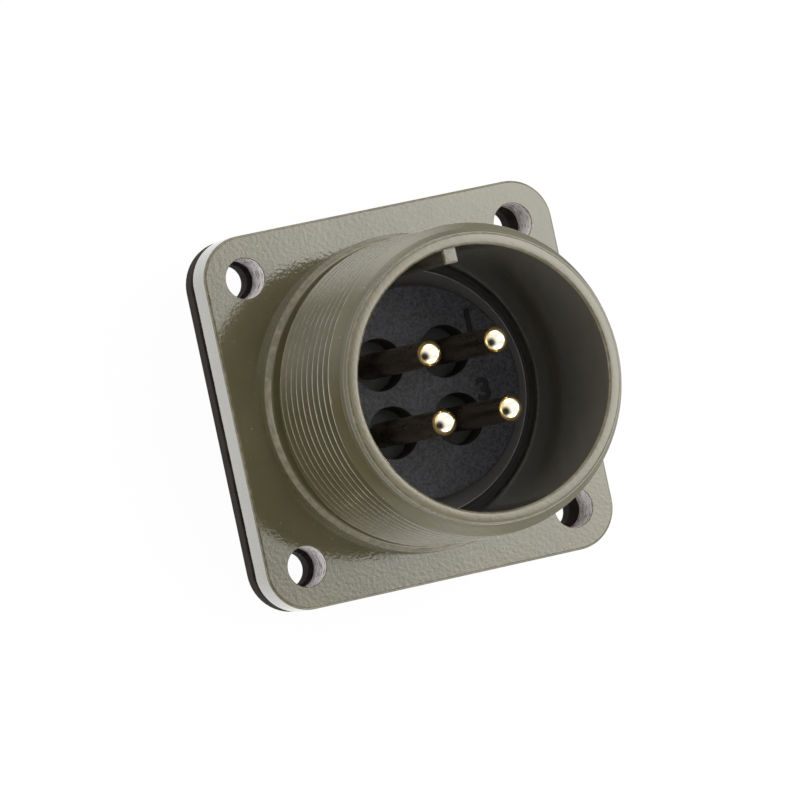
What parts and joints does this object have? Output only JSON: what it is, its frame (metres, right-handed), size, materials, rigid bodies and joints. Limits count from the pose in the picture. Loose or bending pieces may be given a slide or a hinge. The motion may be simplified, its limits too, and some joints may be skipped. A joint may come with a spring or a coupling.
{
  "type": "circular connector receptacle",
  "caption": "Box-mount circular receptacle with a square flange, threaded barrel, inner key and pin contacts; solder cups stand in the rear sleeve.",
  "frame": {"origin": "centre of the flange's rear face, in the middle of the four screw holes", "axes": "+Z along the plugging axis towards the mating plug, +Y towards the key, +X to the right seen from the front"},
  "size_m": [0.0352, 0.0352, 0.0348],
  "materials": {
    "olive_paint": "glossy olive-drab paint",
    "black_rubber": "matt black rubber",
    "black_plastic": "fine-grained moulded black plastic",
    "gold_plate": "polished gold plating",
    "spring_steel": "plain spring steel"
  },
  "bodies": {
    "root": {"shell": "olive_paint", "flange_gasket": "black_rubber", "front_insulator": "black_plastic", "rear_insulator": "black_plastic", "retaining_ring": "spring_steel", "contact_1": "gold_plate", "contact_2": "gold_plate", "contact_3": "gold_plate", "contact_4": "gold_plate"}
  },
  "joints": []
}
